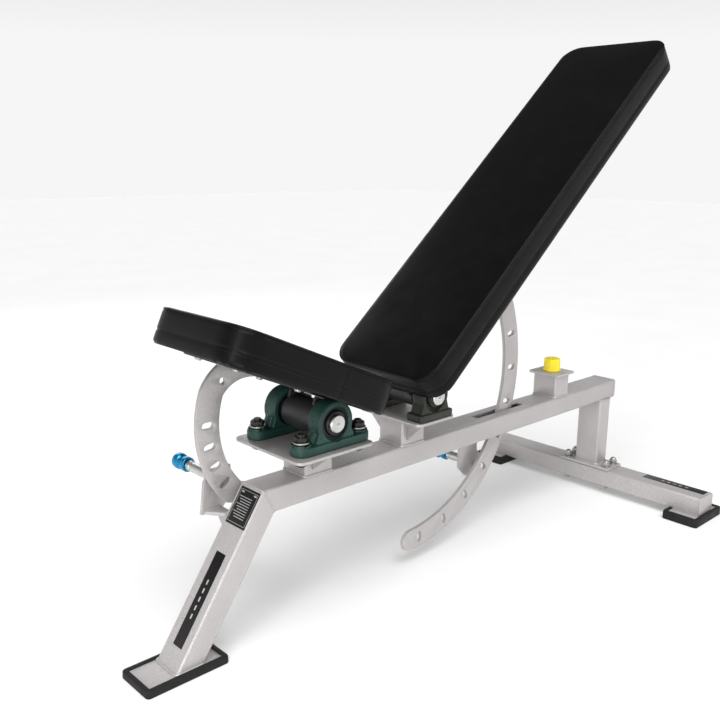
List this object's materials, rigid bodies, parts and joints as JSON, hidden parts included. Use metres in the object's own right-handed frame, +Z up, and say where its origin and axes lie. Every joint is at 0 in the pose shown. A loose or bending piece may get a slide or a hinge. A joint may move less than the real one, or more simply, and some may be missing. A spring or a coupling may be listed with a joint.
{
  "type": "adjustable weight bench",
  "caption": "Adjustable weight bench: box-tube frame on rubber feet, with a padded seat and a padded backrest that tilt on pillow blocks and lock with spring pull-pins in slotted arcs.",
  "frame": {"origin": "on the floor, below the middle of the bench's overall box", "axes": "+X from the foot end to the head end along the bench's length, +Y to the side with the arcs' pull-pins, +Z up"},
  "size_m": [1.286, 0.604, 1.012],
  "materials": {
    "silver_paint": "fine metallic powder coat, satin",
    "black_paint": "black powder coat, satin",
    "green_casting": "dark green enamelled casting",
    "olive_casting": "dark olive enamelled casting",
    "bright_steel": "turned and plated",
    "bearing_seal": "dark bearing ring and seal",
    "black_rubber": "moulded rubber, matte",
    "black_leather": "black coated upholstery, fine grain, semi-gloss",
    "plywood": "plywood, raw",
    "blue_anodised": "turned and anodised blue",
    "yellow_rubber": "moulded, satin"
  },
  "bodies": {
    "frame": {"back_bearing_left": "bearing_seal", "back_bearing_right": "bearing_seal", "back_block_left": "olive_casting", "back_block_right": "olive_casting", "back_pin_barrel": "bright_steel", "back_pin_bracket": "silver_paint", "back_pivot_plate": "silver_paint", "back_post": "silver_paint", "base_bolt_1": "bright_steel", "base_bolt_2": "bright_steel", "base_bolt_3": "bright_steel", "base_bolt_4": "bright_steel", "crossbar": "silver_paint", "crossbar_end_cap_left": "silver_paint", "crossbar_end_cap_right": "silver_paint", "front_foot_boot": "black_rubber", "front_foot_plate": "silver_paint", "front_leg": "silver_paint", "rear_base_plate": "silver_paint", "rear_foot_left_boot": "black_rubber", "rear_foot_left_plate": "silver_paint", "rear_foot_right_boot": "black_rubber", "rear_foot_right_plate": "silver_paint", "rear_post": "silver_paint", "seat_bearing_left": "bearing_seal", "seat_bearing_right": "bearing_seal", "seat_block_bolt_1": "black_paint", "seat_block_bolt_2": "black_paint", "seat_block_bolt_3": "black_paint", "seat_block_bolt_4": "black_paint", "seat_block_left": "green_casting", "seat_block_right": "green_casting", "seat_pin_barrel": "bright_steel", "seat_pin_bracket": "silver_paint", "seat_pivot_plate": "silver_paint", "seat_post": "silver_paint", "spine_end_cap": "silver_paint", "spine_tube": "silver_paint", "stop_bumper": "yellow_rubber", "stop_post": "silver_paint"},
    "seat": {"seat_shaft": "bright_steel", "seat_sleeve": "black_paint", "seat_mount_plate": "black_paint", "seat_arc": "silver_paint", "seat_pad": "black_leather", "seat_board": "plywood"},
    "back": {"back_shaft": "bright_steel", "back_sleeve": "black_paint", "back_rail": "black_paint", "back_mount_plate_lower": "black_paint", "back_mount_plate_upper": "black_paint", "back_arc": "silver_paint", "back_pad": "black_leather", "back_board": "plywood"},
    "seat_pin": {"seat_pin_plunger": "bright_steel", "seat_pin_spring": "bright_steel", "seat_pin_knob": "blue_anodised"},
    "back_pin": {"back_pin_plunger": "bright_steel", "back_pin_spring": "bright_steel", "back_pin_knob": "blue_anodised"}
  },
  "joints": [
    {"name": "seat_tilt", "type": "hinge", "parent": "frame", "child": "seat", "pos_m": [-0.305, 0, 0.359], "axis": [0, 1, 0], "range_deg": [-36, 0]},
    {"name": "back_tilt", "type": "hinge", "parent": "frame", "child": "back", "pos_m": [-0.067, 0, 0.359], "axis": [0, -1, 0], "range_deg": [-40.5, 40.5]},
    {"name": "seat_pin_slide", "type": "slide", "parent": "frame", "child": "seat_pin", "axis": [0, -1, 0], "range_m": [0, 0.012]},
    {"name": "back_pin_slide", "type": "slide", "parent": "frame", "child": "back_pin", "axis": [0, -1, 0], "range_m": [0, 0.012]}
  ]
}
